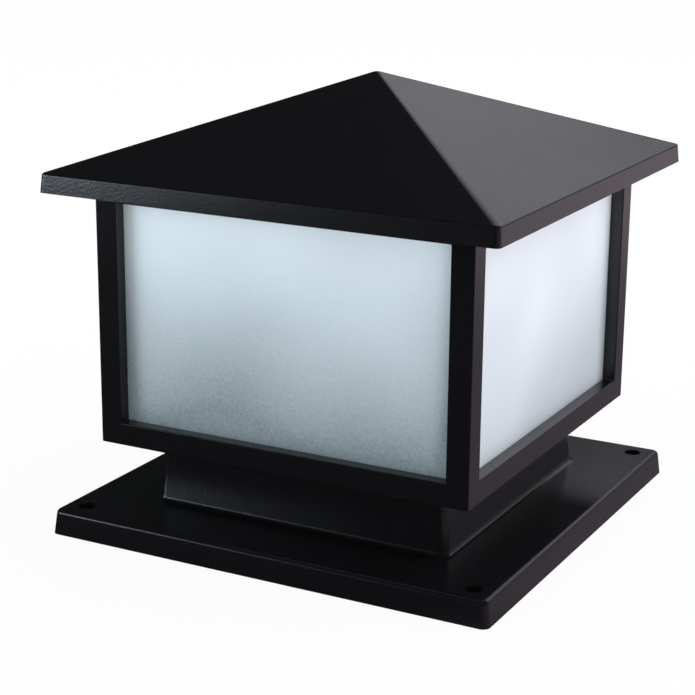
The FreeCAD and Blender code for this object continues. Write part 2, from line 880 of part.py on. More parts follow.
def make_terminal_tubes():
    near = terminal_y - terminal_depth / 2 + end_clearance
    far = terminal_y + terminal_depth / 2 - end_clearance
    hole = terminal_screw_diameter + 2 * thread_clearance
    top = floor_top + terminal_height
    tubes = []
    for x in pole_places():
        tube = along_y(tube_diameter, x, tube_axis_height(), near, far)
        tube = tube.cut(along_y(tube_bore, x, tube_axis_height(), near - past, far + past))
        for y in clamp_screw_rows():
            tube = tube.cut(cylinder(hole, x, y, tube_axis_height(), top))
        tubes.append(tube)
    return Part.makeCompound(tubes)


def make_terminal_screws():
    """Headless clamp screws, two to a pole, standing on the wire in each tube."""
    screws = []
    low = tube_axis_height() + wire_diameter / 2 + thread_clearance
    high = floor_top + terminal_height - end_clearance
    for x in pole_places():
        for y in clamp_screw_rows():
            body = cylinder(terminal_screw_diameter, x, y, low, high)
            slot = box(
                x - terminal_screw_diameter, x + terminal_screw_diameter,
                y - terminal_slot_width / 2, y + terminal_slot_width / 2,
                high - terminal_slot_depth, high + past,
            )
            screws.append(body.cut(slot))
    return Part.makeCompound(screws)


def make_terminal_fixing_screws():
    screws = [floor_screw(m3_terminal, x, terminal_y, terminal_height) for x in terminal_screw_places()]
    return Part.makeCompound(screws)


def make_earth_tag():
    """Ring under the earth screw with a barrel crimped on the wire, which comes from the block."""
    tag = cylinder(earth_tag_diameter, earth_x, earth_y, floor_top, floor_top + earth_tag_thickness)
    neck_half = earth_barrel_diameter / 2
    top = floor_top + earth_tag_thickness
    start = earth_barrel_start()
    end = start + earth_barrel_length
    tag = tag.fuse(box(earth_x - neck_half, earth_x + neck_half, earth_y, start + past, floor_top, top))
    tag = tag.fuse(along_y(earth_barrel_diameter, earth_x, earth_wire_height(), start, end))
    tag = tag.cut(along_y(wire_diameter, earth_x, earth_wire_height(), earth_wire_end(), end + past))
    return tag.cut(through_hole(m4, earth_x, earth_y, floor_top, top))


def earth_wire_height():
    return floor_top + earth_barrel_diameter / 2


def earth_barrel_start():
    return earth_y + earth_tag_diameter / 2 + earth_neck_length


def earth_wire_end():
    """The wire stops inside the barrel, a little short of its closed end."""
    return earth_barrel_start() + end_clearance


def make_earth_screw():
    return floor_screw(m4, earth_x, earth_y, earth_tag_thickness)


def make_cable_grommet():
    """Rubber bush with a flange above and below the floor."""
    low = floor_underside - grommet_flange_thickness
    high = floor_top + grommet_flange_thickness
    bush = cylinder(cable_hole_diameter, 0, cable_entry_y, low, high)
    bush = bush.fuse(cylinder(grommet_flange_diameter, 0, cable_entry_y, low, floor_underside))
    bush = bush.fuse(cylinder(grommet_flange_diameter, 0, cable_entry_y, floor_top, high))
    bush = bush.removeSplitter()
    return bush.cut(cylinder(cable_bore_diameter, 0, cable_entry_y, low - past, high + past))


def wire_along(points):
    """A round wire through points: straight runs joined by tangent arcs, as wide as the runs allow."""
    corners = [Vector(*point) for point in points]
    edges = []
    bends = []
    start = corners[0]
    for before, corner, after in zip(corners, corners[1:], corners[2:]):
        back = (before - corner).normalize()
        ahead = (after - corner).normalize()
        half_turn = (math.pi - back.getAngle(ahead)) / 2
        trim = arc_share * min((before - corner).Length, (after - corner).Length)
        radius = trim / math.tan(half_turn)
        centre = corner + (back + ahead).normalize() * math.hypot(radius, trim)
        enter = corner + back * trim
        leave = corner + ahead * trim
        middle = centre + (corner - centre).normalize() * radius
        edges.append(Part.LineSegment(start, enter).toShape())
        edges.append(Part.Arc(enter, middle, leave).toShape())
        bends.append(radius)
        start = leave
    edges.append(Part.LineSegment(start, corners[-1]).toShape())
    path = Part.Wire(edges)
    direction = (corners[1] - corners[0]).normalize()
    section = Part.Wire(Part.makeCircle(wire_diameter / 2, corners[0], direction))
    wire = path.makePipeShell([section], True, False)
    expected = math.pi * (wire_diameter / 2) ** 2 * path.Length
    print(f"wire of {path.Length:.1f} mm: bends of {min(bends):.1f} to {max(bends):.1f} mm radius,")
    print(f"    volume {wire.Volume:.1f} mm3, section times length {expected:.1f} mm3")
    return wire


def clamp_end():
    """Where a wire's end stands inside its terminal tube."""
    return clamp_screw_rows()[0] + terminal_screw_diameter / 2 + end_clearance


def block_near_face():
    return terminal_y - terminal_depth / 2


def lamp_wire(pole, run_offset, rise_x):
    """A wire from a terminal, beside the bracket, under its arch and up into the lampholder."""
    x = pole_places()[pole]
    low = floor_top + wire_clear_height
    run_y = block_near_face() - run_offset
    return wire_along([
        (x, clamp_end(), tube_axis_height()),
        (x, block_near_face() - wire_exit, tube_axis_height()),
        (x - wire_drop_run, run_y + wire_wander, low),
        ((x + rise_x) / 2, run_y, low),
        (rise_x + wire_approach, run_y - 3 * wire_wander, low),
        (rise_x, run_y / 2 - wire_wander, low),
        (rise_x, 0, low + wire_lift),
        (rise_x, 0, bracket_top + holder_floor),
    ])


def make_wire_live():
    return lamp_wire(0, live_run_offset, -wire_rise_offset)


def make_wire_neutral():
    return lamp_wire(1, neutral_run_offset, wire_rise_offset)


def make_wire_earth():
    """A wire from the third terminal, bowed out sideways and up, into the earth ring's barrel."""
    x = pole_places()[2]
    middle = (block_near_face() + earth_wire_end()) / 2
    bow_start = middle + earth_bow_length / 2
    bow_end = middle - earth_bow_length / 2
    return wire_along([
        (x, clamp_end(), tube_axis_height()),
        (x, block_near_face() - wire_exit, tube_axis_height()),
        (x + earth_bow_width, bow_start, earth_wire_height() + earth_bow_height),
        (x + earth_bow_width / 2, bow_end, earth_wire_height()),
        (earth_x, earth_wire_end() + earth_barrel_length + wire_exit / 3, earth_wire_height()),
        (earth_x, earth_wire_end(), earth_wire_height()),
    ])


def all_nodes():
    """Each sub-part's solid under its own name."""
    nodes = {
        "base_flange": make_base_flange(),
        "neck_gasket": make_neck_gasket(),
        "lantern_foot_rail": make_lantern_foot_rail(),
        "lantern_head_rail": make_lantern_head_rail(),
        "lantern_floor": make_lantern_floor(),
        "pane_stop": make_pane_stop(),
        "frame_screws": make_frame_screws(),
        "pane_clips": make_pane_clips(),
        "pane_clip_screws": make_pane_clip_screws(),
        "roof_cap": make_roof_cap(),
        "roof_gasket": make_roof_gasket(),
        "lampholder_bracket": make_lampholder_bracket(),
        "bracket_screws": make_bracket_screws(),
        "lampholder_body": make_lampholder_body(),
        "lampholder_screws": make_lampholder_screws(),
        "lampholder_shell": make_lampholder_shell(),
        "lampholder_contact": make_lampholder_contact(),
        "bulb_contact": make_bulb_contact(),
        "bulb_insulator": make_bulb_insulator(),
        "bulb_cap": make_bulb_cap(),
        "bulb_housing": make_bulb_housing(),
        "led_board": make_led_board(),
        "led_chips": make_led_chips(),
        "bulb_globe": make_bulb_globe(),
        "terminal_block": make_terminal_block(),
        "terminal_tubes": make_terminal_tubes(),
        "terminal_screws": make_terminal_screws(),
        "terminal_fixing_screws": make_terminal_fixing_screws(),
        "earth_tag": make_earth_tag(),
        "earth_screw": make_earth_screw(),
        "cable_grommet": make_cable_grommet(),
        "wire_live": make_wire_live(),
        "wire_neutral": make_wire_neutral(),
        "wire_earth": make_wire_earth(),
    }
    for side in SIDES:
        nodes[f"lantern_post_{side}"] = make_lantern_post(side)
        nodes[f"glass_pane_{side}"] = make_glass_pane(side)
        nodes[f"pane_seat_{side}"] = make_pane_seat(side)
        nodes[f"roof_washer_{side}"] = make_roof_washer(side)
        nodes[f"roof_screw_{side}"] = make_roof_screw(side)
    return nodes


os.makedirs("parts", exist_ok=True)
for node, shape in all_nodes().items():
    shape.exportStep(f"parts/{node}.step")
    print(f"{node}: {len(shape.Solids)} solids, {shape.Volume:.1f} mm3, valid {shape.isValid()}")
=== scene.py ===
import math

import bmesh
import bpy
import numpy as np
from mathutils import Matrix, Vector


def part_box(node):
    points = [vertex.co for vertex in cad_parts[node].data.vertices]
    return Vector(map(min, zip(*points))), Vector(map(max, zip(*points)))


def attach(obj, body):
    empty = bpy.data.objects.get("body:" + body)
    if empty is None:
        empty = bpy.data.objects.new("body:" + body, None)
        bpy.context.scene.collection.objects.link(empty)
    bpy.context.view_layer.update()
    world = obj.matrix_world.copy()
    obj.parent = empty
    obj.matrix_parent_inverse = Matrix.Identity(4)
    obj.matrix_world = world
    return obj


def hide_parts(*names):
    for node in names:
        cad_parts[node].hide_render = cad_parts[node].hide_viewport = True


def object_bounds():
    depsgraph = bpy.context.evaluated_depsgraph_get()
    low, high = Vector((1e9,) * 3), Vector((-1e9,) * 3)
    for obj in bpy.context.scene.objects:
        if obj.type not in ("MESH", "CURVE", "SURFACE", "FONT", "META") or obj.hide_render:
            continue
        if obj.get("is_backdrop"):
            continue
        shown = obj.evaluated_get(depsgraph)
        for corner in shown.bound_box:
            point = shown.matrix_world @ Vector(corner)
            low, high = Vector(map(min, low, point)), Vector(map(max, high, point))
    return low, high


# A square pillar-top lantern in black powder coat with frosted panes, put together from the
# ground up: base, lantern body, panes, lampholder, lamp, wiring, roof, and then the studio.
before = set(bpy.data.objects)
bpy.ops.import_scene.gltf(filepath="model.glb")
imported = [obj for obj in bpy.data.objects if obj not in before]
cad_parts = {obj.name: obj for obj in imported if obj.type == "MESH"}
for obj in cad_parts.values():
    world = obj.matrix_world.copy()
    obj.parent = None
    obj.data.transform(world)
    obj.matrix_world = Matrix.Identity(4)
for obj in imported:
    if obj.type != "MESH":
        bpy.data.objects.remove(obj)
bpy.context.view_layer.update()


# ---- Base flange and neck -------------------------------------------------------------------
# One aluminium casting, screwed to the pillar through its four corners. It is powder coated in
# satin black, a thick fine-grained coat that rounds every edge.

class Signal:
    """One value or colour inside a finish. Arithmetic on signals adds Math nodes."""

    def __init__(self, finish, socket):
        self.finish = finish
        self.socket = socket

    def __add__(self, other):
        return self.finish.maths("ADD", self, other)

    def __sub__(self, other):
        return self.finish.maths("SUBTRACT", self, other)

    def __rsub__(self, other):
        return self.finish.maths("SUBTRACT", other, self)

    def __mul__(self, other):
        return self.finish.maths("MULTIPLY", self, other)

    def __truediv__(self, other):
        return self.finish.maths("DIVIDE", self, other)

    __radd__ = __add__
    __rmul__ = __mul__


class Finish:
    """A procedural material: its nodes are added by name, with settings first and sockets after."""

    def __init__(self, name, tree=None):
        self.material = bpy.data.materials.new(name) if tree is None else None
        if self.material:
            self.material.use_nodes = True
        self.tree = tree or self.material.node_tree
        self.tree.nodes.clear()

    def node(self, kind, settings=None, sockets=None, output=0):
        """Adds one node. A ramp's stops are given as its 'stops' setting."""
        node = self.tree.nodes.new("ShaderNode" + kind)
        for name, value in (settings or {}).items():
            if name == "stops":
                self.set_stops(node.color_ramp, value)
            else:
                setattr(node, name, value)
        for name, value in (sockets or {}).items():
            if isinstance(value, Signal):
                self.tree.links.new(value.socket, node.inputs[name])
            else:
                node.inputs[name].default_value = value
        return Signal(self, node.outputs[output]) if len(node.outputs) else node

    def set_stops(self, ramp, stops):
        while len(ramp.elements) > 1:
            ramp.elements.remove(ramp.elements[-1])
        ramp.elements[0].position = stops[0][0]
        ramp.elements[0].color = (*stops[0][1], 1)
        for place, colour in stops[1:]:
            ramp.elements.new(place).color = (*colour, 1)

    def maths(self, operation, first, second=0.0):
        return self.node("Math", {"operation": operation}, {0: first, 1: second})

    def between(self, value, low, high):
        """0 below low, 1 above high, and a smooth step from one to the other."""
        settings = {"interpolation_type": "SMOOTHSTEP"}
        return self.node("MapRange", settings, {"Value": value, "From Min": low, "From Max": high})

    def place(self):
        """Where a point is on the object, in metres."""
        return self.node("TexCoord", output="Object")

    def along(self, axis):
        return self.node("SeparateXYZ", sockets={"Vector": self.place()}, output=axis)

    def grain(self, size, detail=2.0, stretch=(1, 1, 1), roughness=0.5):
        """Cloudy noise from 0 to 1 whose spots are about size metres across."""
        scaled = self.node(
            "VectorMath", {"operation": "MULTIPLY"}, {0: self.place(), 1: [1 / s for s in stretch]}
        )
        sockets = {"Vector": scaled, "Scale": 1 / size, "Detail": detail, "Roughness": roughness}
        return self.node("TexNoise", sockets=sockets)

    def mix(self, share, first, second):
        """Goes from the first colour to the second as share goes from 0 to 1."""
        sockets = {0: share, 6: self.colour(first), 7: self.colour(second)}
        return self.node("Mix", {"data_type": "RGBA"}, sockets, output=2)

    def colour(self, value):
        return value if isinstance(value, Signal) else (*value, 1)

    def relief(self, height, depth, strength=1.0):
        """A normal from a height that goes from 0 to 1 over depth metres."""
        return self.node("Bump", sockets={"Height": height, "Distance": depth, "Strength": strength})

    def surface(self, **sockets):
        """Ends the finish in a Principled shader. Socket names are written with underscores."""
        named = {}
        for name, value in sockets.items():
            is_colour = name in ("Base_Color", "Emission_Color", "Specular_Tint", "Sheen_Tint")
            named[name.replace("_", " ")] = self.colour(value) if is_colour else value
        shader = self.node("BsdfPrincipled", sockets=named)
        self.node("OutputMaterial", sockets={"Surface": shader})
        return self.material


def coat_with(material, *nodes):
    """Puts a material on nodes of the frame, whose shape stays as it is."""
    for name in nodes:
        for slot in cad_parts[name].material_slots:
            slot.material = material


flat_angle = math.radians(0.5)
sharp_angle = 0.6
crease_angle = math.radians(35)


def soften(node, radius):
    """Joins a piece's flat faces, then rounds the edges that are still sharp by radius."""
    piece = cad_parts[node]
    piece.data.shade_smooth()
    piece.modifiers.new("join", "WELD").merge_threshold = 1e-6
    flat = piece.modifiers.new("flats", "DECIMATE")
    flat.decimate_type = "DISSOLVE"
    flat.angle_limit = flat_angle
    bevel = piece.modifiers.new("edges", "BEVEL")
    bevel.width = radius
    bevel.segments = 2
    bevel.limit_method = "ANGLE"
    bevel.angle_limit = sharp_angle
    bevel.harden_normals = False
    split = piece.modifiers.new("creases", "EDGE_SPLIT")
    split.split_angle = crease_angle
    piece.modifiers.new("flat_faces", "WEIGHTED_NORMAL").keep_sharp = True


powder = Finish("satin_black_coat")
speck = powder.grain(0.0013, detail=4.0, roughness=0.6)
cloud = powder.grain(0.03, detail=3.0)
rubs = powder.grain(0.009, detail=6.0, stretch=(1, 1, 0.2), roughness=0.7)
scuff = powder.between(rubs, 0.66, 0.80)
satin_black = powder.surface(
    Base_Color=powder.mix(speck, (0.0022, 0.0022, 0.0026), (0.0055, 0.0052, 0.0060)),
    Roughness=0.15 + speck * 0.08 + cloud * 0.06 + scuff * 0.06,
    Normal=powder.relief(speck, 0.00009),
    IOR=1.5,
)
soften("base_flange", 0.0004)
coat_with(satin_black, "base_flange")


# ---- Neck gasket -------------------------------------------------------------------------------
# A flat square of moulded rubber on the ledge inside the neck, with a hole for each of the four
# screws. The lantern body presses it flat, and it keeps rain out of the neck.

rubber = Finish("black_rubber")
bloom = rubber.grain(0.004, detail=4.0)
pores = rubber.grain(0.0004)
black_rubber = rubber.surface(
    Base_Color=rubber.mix(bloom, (0.012, 0.012, 0.012), (0.034, 0.033, 0.032)),
    Roughness=0.60 + bloom * 0.25,
    Normal=rubber.relief(pores, 0.00004),
)
soften("neck_gasket", 0.0003)
coat_with(black_rubber, "neck_gasket")


# ---- Lantern body -----------------------------------------------------------------------------
# A foot rail, four L-section posts and a head rail, welded together, ground flush and coated as
# one, with an ear on each side that the roof is screwed to. The seams can't be seen.

def grid_faces(rows, columns, around=False):
    """The quads between neighbours of a grid. Around joins its last column to the first."""
    row = np.arange(rows - 1)[:, None]
    column = np.arange(columns if around else columns - 1)[None, :]
    after = (column + 1) % columns
    here, above = row * columns, (row + 1) * columns
    corners = (here + column, here + after, above + after, above + column)
    return np.stack(corners, axis=-1).reshape(-1, 4)


def merged(parts):
    """Several (points, faces) pairs as one, each part's faces counted on from the part before it."""
    points = np.concatenate([part[0] for part in parts])
    starts = np.cumsum([0] + [len(part[0]) for part in parts[:-1]])
    faces = [np.asarray(part[1]) + start for part, start in zip(parts, starts)]
    return points, [tuple(face) for group in faces for face in group]


def turned_about_axis(points, angle):
    """Points turned by an angle about the lantern's own axis."""
    c, s = math.cos(angle), math.sin(angle)
    return points @ np.array([[c, s, 0], [-s, c, 0], [0, 0, 1]])


def build(name, shape, material, slot, body, *nodes, crease=35):
    """Puts points and faces into a closed mesh on a body of the frame, in place of nodes."""
    points, faces = shape
    mesh = bpy.data.meshes.new(name)
    mesh.from_pydata(points.tolist(), [], [tuple(int(i) for i in face) for face in faces])
    work = bmesh.new()
    work.from_mesh(mesh)
    bmesh.ops.remove_doubles(work, verts=work.verts, dist=1e-6)
    bmesh.ops.dissolve_degenerate(work, edges=work.edges, dist=1e-7)
    bmesh.ops.recalc_face_normals(work, faces=work.faces)
    work.to_mesh(mesh)
    work.free()
    mesh.shade_smooth()
    mesh.materials.append(material)
    piece = bpy.data.objects.new(name, mesh)
    bpy.context.scene.collection.objects.link(piece)
    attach(piece, body)
    if nodes:
        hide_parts(*nodes)
    if crease:
        piece.modifiers.new("creases", "EDGE_SPLIT").split_angle = math.radians(crease)
    return piece


def rounded(piece, radius):
    """Rounds a new piece's sharp edges before they are split for shading."""
    piece.modifiers.remove(piece.modifiers["creases"])
    bevel = piece.modifiers.new("edges", "BEVEL")
    bevel.width = radius
    bevel.segments = 3
    bevel.limit_method = "ANGLE"
    bevel.angle_limit = math.radians(40)
    piece.modifiers.new("creases", "EDGE_SPLIT").split_angle = crease_angle
    piece.modifiers.new("flat_faces", "WEIGHTED_NORMAL").keep_sharp = True


SIDES = {"front": 0.0, "right": math.pi / 2, "back": math.pi, "left": -math.pi / 2}
body_low, body_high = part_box("lantern_foot_rail")[0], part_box("lantern_head_rail")[1]
body_half = -body_low.x
window_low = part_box("lantern_foot_rail")[1].z
window_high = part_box("lantern_head_rail")[0].z
post_width = 0.0123
wall_thickness = 0.0072
window_half = body_half - post_width
wall_inside = body_half - wall_thickness


def frame_side():
    """The front wall: a square with a window in it at two depths, joined round the window."""
    def ring(half, depth, low, high):
        return [(-half, -depth, low), (half, -depth, low), (half, -depth, high), (-half, -depth, high)]

    rings = [
        ring(body_half, body_half, body_low.z, body_high.z),
        ring(window_half, body_half, window_low, window_high),
        ring(window_half, wall_inside, window_low, window_high),
        ring(wall_inside, wall_inside, body_low.z, body_high.z),
    ]
    bands = grid_faces(4, 4, around=True)
    edges = [(0, 1, 13, 12), (3, 2, 14, 15)]
    return np.array(sum(rings, [])), np.concatenate([bands, edges])


def plate_with_hole(outline, hole, low, high):
    """A flat plate between two heights whose outline and hole have the same count of points."""
    levels = [(outline, low), (outline, high), (hole, high), (hole, low), (outline, low)]
    points = [np.column_stack([ring, np.full(len(ring), level)]) for ring, level in levels]
    return np.concatenate(points), grid_faces(len(levels), len(outline), around=True)


def ear_outline(half, back):
    """A tongue about its hole: a half circle at the outer end, and straight sides up to back."""
    angle = np.linspace(math.pi, math.tau, 25)
    inner = np.linspace(half, -half, 23)
    round_end = np.column_stack([half * np.cos(angle), half * np.sin(angle)])
    return np.concatenate([round_end, np.column_stack([inner, np.full(23, back)])])


# The ears stop a coat's thickness below the head rail's top, so the faces don't share a plane.
coat_thickness = 0.00005
ear_thickness = 0.004
ear_half_width = 0.0065
ear_hole_radius = 0.00225
ear_root = 0.0003
ear_high = body_high.z - coat_thickness
ear_low = body_high.z - ear_thickness
washer_low, washer_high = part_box("roof_washer_front")
ear_reach = -(washer_low.y + washer_high.y) / 2
outline = ear_outline(ear_half_width, ear_reach - body_half + ear_root)
hole = outline * ear_hole_radius / np.linalg.norm(outline, axis=1, keepdims=True)
screw_axis = np.array([0, -ear_reach])
ear = plate_with_hole(outline + screw_axis, hole + screw_axis, ear_low, ear_high)
sides = []
for turn in SIDES.values():
    for points, faces in (frame_side(), ear):
        sides.append((turned_about_axis(points, turn), faces))
casting = build(
    "lantern_casting", merged(sides), satin_black, "black_coat", "lantern",
    "lantern_foot_rail", "lantern_head_rail", *(f"lantern_post_{side}" for side in SIDES),
)
rounded(casting, 0.0006)


def brushed(name, dark, light, roughness):
    """A plain metal with fine marks along Z and a slow change of tone."""
    finish = Finish(name)
    marks = finish.grain(0.0006, detail=3.0, stretch=(1, 1, 0.05))
    cloud = finish.grain(0.006, detail=3.0)
    return finish.surface(
        Base_Color=finish.mix(marks * 0.5 + cloud * 0.5, dark, light),
        Metallic=1.0,
        Roughness=roughness + cloud * 0.12 + marks * 0.06,
        Normal=finish.relief(marks, 0.00002),
    )


def pan_head_screw(head, head_height, shank, length, pitch, columns=72):
    """A screw that points down from its seat at the origin, as one surface of row and angle.

    The head is a shallow dome less a crossed recess, with a round rim. The shank's radius falls
    from its full size by a zigzag of height plus the turned share of one pitch.
    """
    recess_half_width, recess_depth, tip_step = 0.0005, 0.0012, 0.0002
    angle = np.linspace(0, math.tau, columns, endpoint=False)[None, :]
    crown = head_height / 2
    reach = np.linspace(0, head / 2 - crown, 24)[:, None]
    x, y = np.abs(reach * np.cos(angle)), np.abs(reach * np.sin(angle))
    in_slot = (np.minimum(x, y) < recess_half_width) & (np.maximum(x, y) < head * 0.31)
    dome = head_height - 0.12 * head_height * (reach / reach[-1]) ** 2
    top = dome - recess_depth * in_slot
    turn = np.linspace(0, math.pi / 2, 6)[:, None]
    rim = head / 2 - crown + crown * np.sin(turn)
    rim_height = head_height * 0.88 - crown + crown * np.cos(turn)
    down = np.linspace(0, -length, int(length / pitch * 8))[:, None]
    zigzag = np.abs(2 * np.mod(down / pitch + angle / math.tau, 1) - 1)
    thread = shank / 2 - 0.3 * pitch * zigzag
    tip = shank * 0.36
    flat = np.ones_like(angle)
    radii = [reach * flat, rim * flat, flat * head / 2, flat * shank / 2, thread, flat * tip, 0 * flat]
    end = -length - tip_step
    heights = [top, rim_height * flat, 0 * flat, 0 * flat, down * flat, end * flat, end * flat]
    radius, z = np.concatenate(radii), np.concatenate(heights)
    points = np.stack([radius * np.cos(angle), radius * np.sin(angle), z], axis=-1).reshape(-1, 3)
    return points, grid_faces(len(radius), columns, around=True)


def placed(shape, spots, upward=False):
    """Copies of a shape at several spots, turned upside down where it points upward."""
    flip = np.array([1, -1, -1]) if upward else np.ones(3)
    return merged([(shape[0] * flip + np.array(spot), shape[1]) for spot in spots])


zinc = brushed("zinc_plate", (0.50, 0.51, 0.52), (0.76, 0.76, 0.74), 0.22)
m5 = {"head": 0.0092, "head_height": 0.0030, "shank": 0.0050, "length": 0.0140, "pitch": 0.0008}
screws_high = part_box("frame_screws")[1]
offset = screws_high.x - m5["head"] / 2
seat = screws_high.z - m5["head_height"]
corners = [(x, y, seat) for x in (-offset, offset) for y in (-offset, offset)]
build(
    "frame_screws_threaded", placed(pan_head_screw(**m5), corners), zinc, "zinc_steel", "lantern",
    "frame_screws", crease=45,
)

soften("lantern_floor", 0.0003)
soften("pane_stop", 0.0003)
coat_with(satin_black, "lantern_floor", "pane_stop")


# ---- Panes --------------------------------------------------------------------------------
# Four sheets of 3 mm float glass, etched on the inner face, so the outer face stays glossy. Their
# opaque colour carries painted shade, darker toward the foot and the rim, and painted light, the
# right and left panes lighter at the foot. Setting strips of rubber carry their lower edges.

window_foot = 0.060
window_height = 0.116
# Only the panes to the right and left reach this far out along X.
side_from = wall_inside - 0.0035
side_to = wall_inside - 0.0029
etched = Finish("etched_glass")
height = (etched.along(2) - window_foot) / window_height
drift = etched.grain(0.10, detail=1.0)
haze = etched.grain(0.0012, detail=3.0)
across, along = etched.maths("ABSOLUTE", etched.along(0)), etched.maths("ABSOLUTE", etched.along(1))
# Painted light: the right and left panes are made lighter toward their foot.
side_pane_painted_light = etched.between(across, side_from, side_to)
# Painted shade: each pane is darkened along the rim of its window.
rim = etched.between(etched.maths("MINIMUM", across, along), window_half - 0.012, window_half + 0.002)
# Painted shade and light from height, rim and side, plus a slow random cloud of tone; the dark colour is
# the painted shade.
painted_shade_and_tone = height * 1.12 + drift * 0.50 + side_pane_painted_light * (1 - height) * 0.45 - rim * 0.30 - 0.34
painted_pane_colour = etched.mix(painted_shade_and_tone, (0.125, 0.168, 0.180), (0.78, 0.875, 0.91))
frosted = etched.surface(
    Base_Color=etched.mix(haze * 0.25, painted_pane_colour, (0.80, 0.88, 0.90)),
    Roughness=0.55 + haze * 0.2,
    Specular_IOR_Level=0.3,
    Coat_Weight=0.6,
    Coat_Roughness=0.22,
    Coat_IOR=1.5,
)
for side in SIDES:
    soften(f"glass_pane_{side}", 0.0003)
    coat_with(frosted, f"glass_pane_{side}")
    coat_with(black_rubber, f"pane_seat_{side}")


# ---- Pane clips -----------------------------------------------------------------------------
# Bent strips of spring steel, two to a side, screwed to the head rail. Each hooks over a pane and
# presses on its inner face.

spring_steel = brushed("spring_steel", (0.36, 0.36, 0.37), (0.56, 0.56, 0.56), 0.26)
coat_with(spring_steel, "pane_clips")
coat_with(zinc, "pane_clip_screws")
for node in ("pane_clips", "pane_clip_screws"):
    soften(node, 0.00015)


# ---- Lampholder -------------------------------------------------------------------------------
# A glazed porcelain holder with a brass screw shell and a spring contact, on a bridge of plated
# sheet steel that leaves room for the wires under it.

glaze = Finish("glazed_porcelain")
body_tone = glaze.grain(0.02, detail=3.0)
fleck = glaze.between(glaze.grain(0.0011, detail=2.0), 0.74, 0.80)
porcelain = glaze.surface(
    Base_Color=glaze.mix(fleck, (0.80, 0.78, 0.72), (0.45, 0.40, 0.33)),
    Roughness=0.14 + body_tone * 0.12,
    Coat_Weight=0.6,
    Coat_Roughness=0.05,
    Normal=glaze.relief(body_tone, 0.0004, 0.4),
)
brass = brushed("plain_brass", (0.56, 0.40, 0.15), (0.78, 0.60, 0.28), 0.24)
coat_with(porcelain, "lampholder_body")
coat_with(brass, "lampholder_shell", "lampholder_contact", "terminal_tubes")
coat_with(zinc, "lampholder_bracket", "bracket_screws", "lampholder_screws")
for node in ("lampholder_body", "lampholder_bracket", "bracket_screws", "lampholder_screws"):
    soften(node, 0.00025)
for node in ("lampholder_shell", "lampholder_contact"):
    soften(node, 0.0001)


# ---- Lamp --------------------------------------------------------------------------------------
# An LED lamp with an E27 screw cap: a rolled nickel-plated cap over a black glass insulator with a
# tip contact, a white plastic housing with a round board of LEDs in it, and an opal globe.

def screw_sleeve(radius, low, high, pitch, depth, columns=64, per_turn=14):
    """A rolled round thread. The radius falls and rises as a cosine of height over pitch less
    the share of a turn, and this wave fades out over half a pitch at either end.
    """
    rows = int((high - low) / pitch * per_turn) + 1
    z = np.linspace(low, high, rows)[:, None]
    angle = np.linspace(0, math.tau, columns, endpoint=False)[None, :]
    fade = np.clip(np.minimum(z - low, high - z) / (0.5 * pitch), 0, 1)
    wave = 0.5 - 0.5 * np.cos(math.tau * (z / pitch - angle / math.tau))
    r = radius - depth * wave * fade
    points = np.stack([r * np.cos(angle), r * np.sin(angle), z + 0 * angle], axis=-1).reshape(-1, 3)
    return points, grid_faces(rows, columns, around=True)


cap_pitch = 0.003629
cap_thread_depth = 0.0009
cap_foot = 0.0016
nickel = brushed("nickel_plate", (0.52, 0.51, 0.48), (0.74, 0.73, 0.69), 0.18)
cap_low, cap_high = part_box("bulb_cap")
cap = build(
    "bulb_cap_rolled",
    screw_sleeve(cap_high.x, cap_low.z + cap_foot, cap_high.z, cap_pitch, cap_thread_depth),
    nickel, "nickel_cap", "lamp", crease=None,
)
wall = cap.modifiers.new("wall", "SOLIDIFY")
wall.thickness = 0.0003
wall.offset = -1

plastic = Finish("moulded_white_plastic")
mottle = plastic.grain(0.008, detail=2.0)
white_plastic = plastic.surface(
    Base_Color=plastic.mix(mottle, (0.78, 0.78, 0.765), (0.86, 0.86, 0.85)),
    Roughness=0.30 + mottle * 0.12,
)
opal = Finish("opal_diffuser")
milk = opal.grain(0.02, detail=2.0)
opal_plastic = opal.surface(
    Base_Color=opal.mix(milk, (0.86, 0.86, 0.84), (0.92, 0.92, 0.905)),
    Roughness=0.34 + milk * 0.12,
    Subsurface_Weight=0.15,
    Subsurface_Scale=0.003,
)
glassy = Finish("black_insulator")
swirl = glassy.grain(0.003, detail=3.0)
black_glass = glassy.surface(
    Base_Color=glassy.mix(swirl, (0.006, 0.006, 0.007), (0.03, 0.025, 0.04)),
    Roughness=0.08 + swirl * 0.08,
)
mask = Finish("led_solder_mask")
tracks = mask.between(mask.grain(0.0022, detail=0.0), 0.50, 0.53)
board_white = mask.surface(
    Base_Color=mask.mix(tracks, (0.80, 0.80, 0.78), (0.66, 0.67, 0.66)),
    Roughness=0.42 + tracks * 0.1,
    Normal=mask.relief(tracks, 0.00004),
)
phosphor = Finish("led_phosphor")
grit = phosphor.grain(0.0003)
led_yellow = phosphor.surface(
    Base_Color=phosphor.mix(grit, (0.72, 0.55, 0.10), (0.88, 0.74, 0.22)),
    Roughness=0.25 + grit * 0.3,
)
for node, finish, radius in (
    ("bulb_globe", opal_plastic, 0.0002),
    ("bulb_housing", white_plastic, 0.0002),
    ("bulb_insulator", black_glass, 0.0001),
    ("bulb_contact", nickel, 0.0001),
    ("bulb_cap", nickel, 0.0001),
    ("led_board", board_white, 0.0001),
    ("led_chips", led_yellow, 0.0001),
):
    soften(node, radius)
    coat_with(finish, node)
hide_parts("bulb_cap")


# ---- Wiring -----------------------------------------------------------------------------------
# A three-pole terminal block and an earth tag on the floor, a rubber bush where the supply cable
# comes up, and three short insulated wires.

